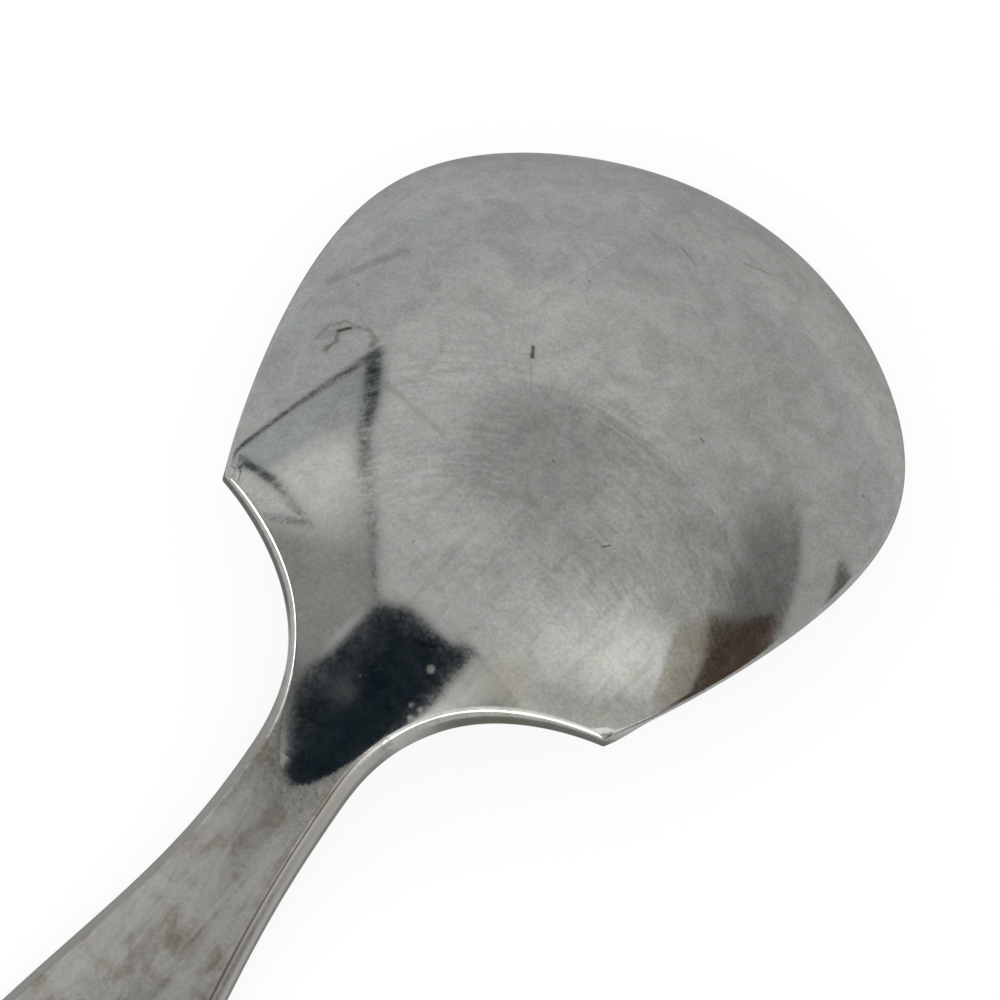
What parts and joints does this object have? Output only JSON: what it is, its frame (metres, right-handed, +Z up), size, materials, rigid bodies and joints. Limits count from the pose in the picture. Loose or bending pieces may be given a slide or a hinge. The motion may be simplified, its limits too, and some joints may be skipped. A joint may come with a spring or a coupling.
{
  "type": "sugar spoon",
  "caption": "Sugar spoon with a wide dished bowl, notched shoulders and an arched, flared handle, for scooping and serving sugar.",
  "frame": {"origin": "middle of the spoon's length and width, on the level it rests on when it lies face down", "axes": "+Y from the handle's end to the bowl's tip, +Z up out of the back of the bowl, +X to the right seen from the handle"},
  "size_m": [0.04, 0.153, 0.0156],
  "materials": {
    "polished_steel": "stainless steel, polished, worn with fine scratches and water stains",
    "satin_steel": "stainless steel, duller, with lengthwise stains"
  },
  "bodies": {
    "root": {"bowl": "polished_steel", "handle": "satin_steel"}
  },
  "joints": []
}
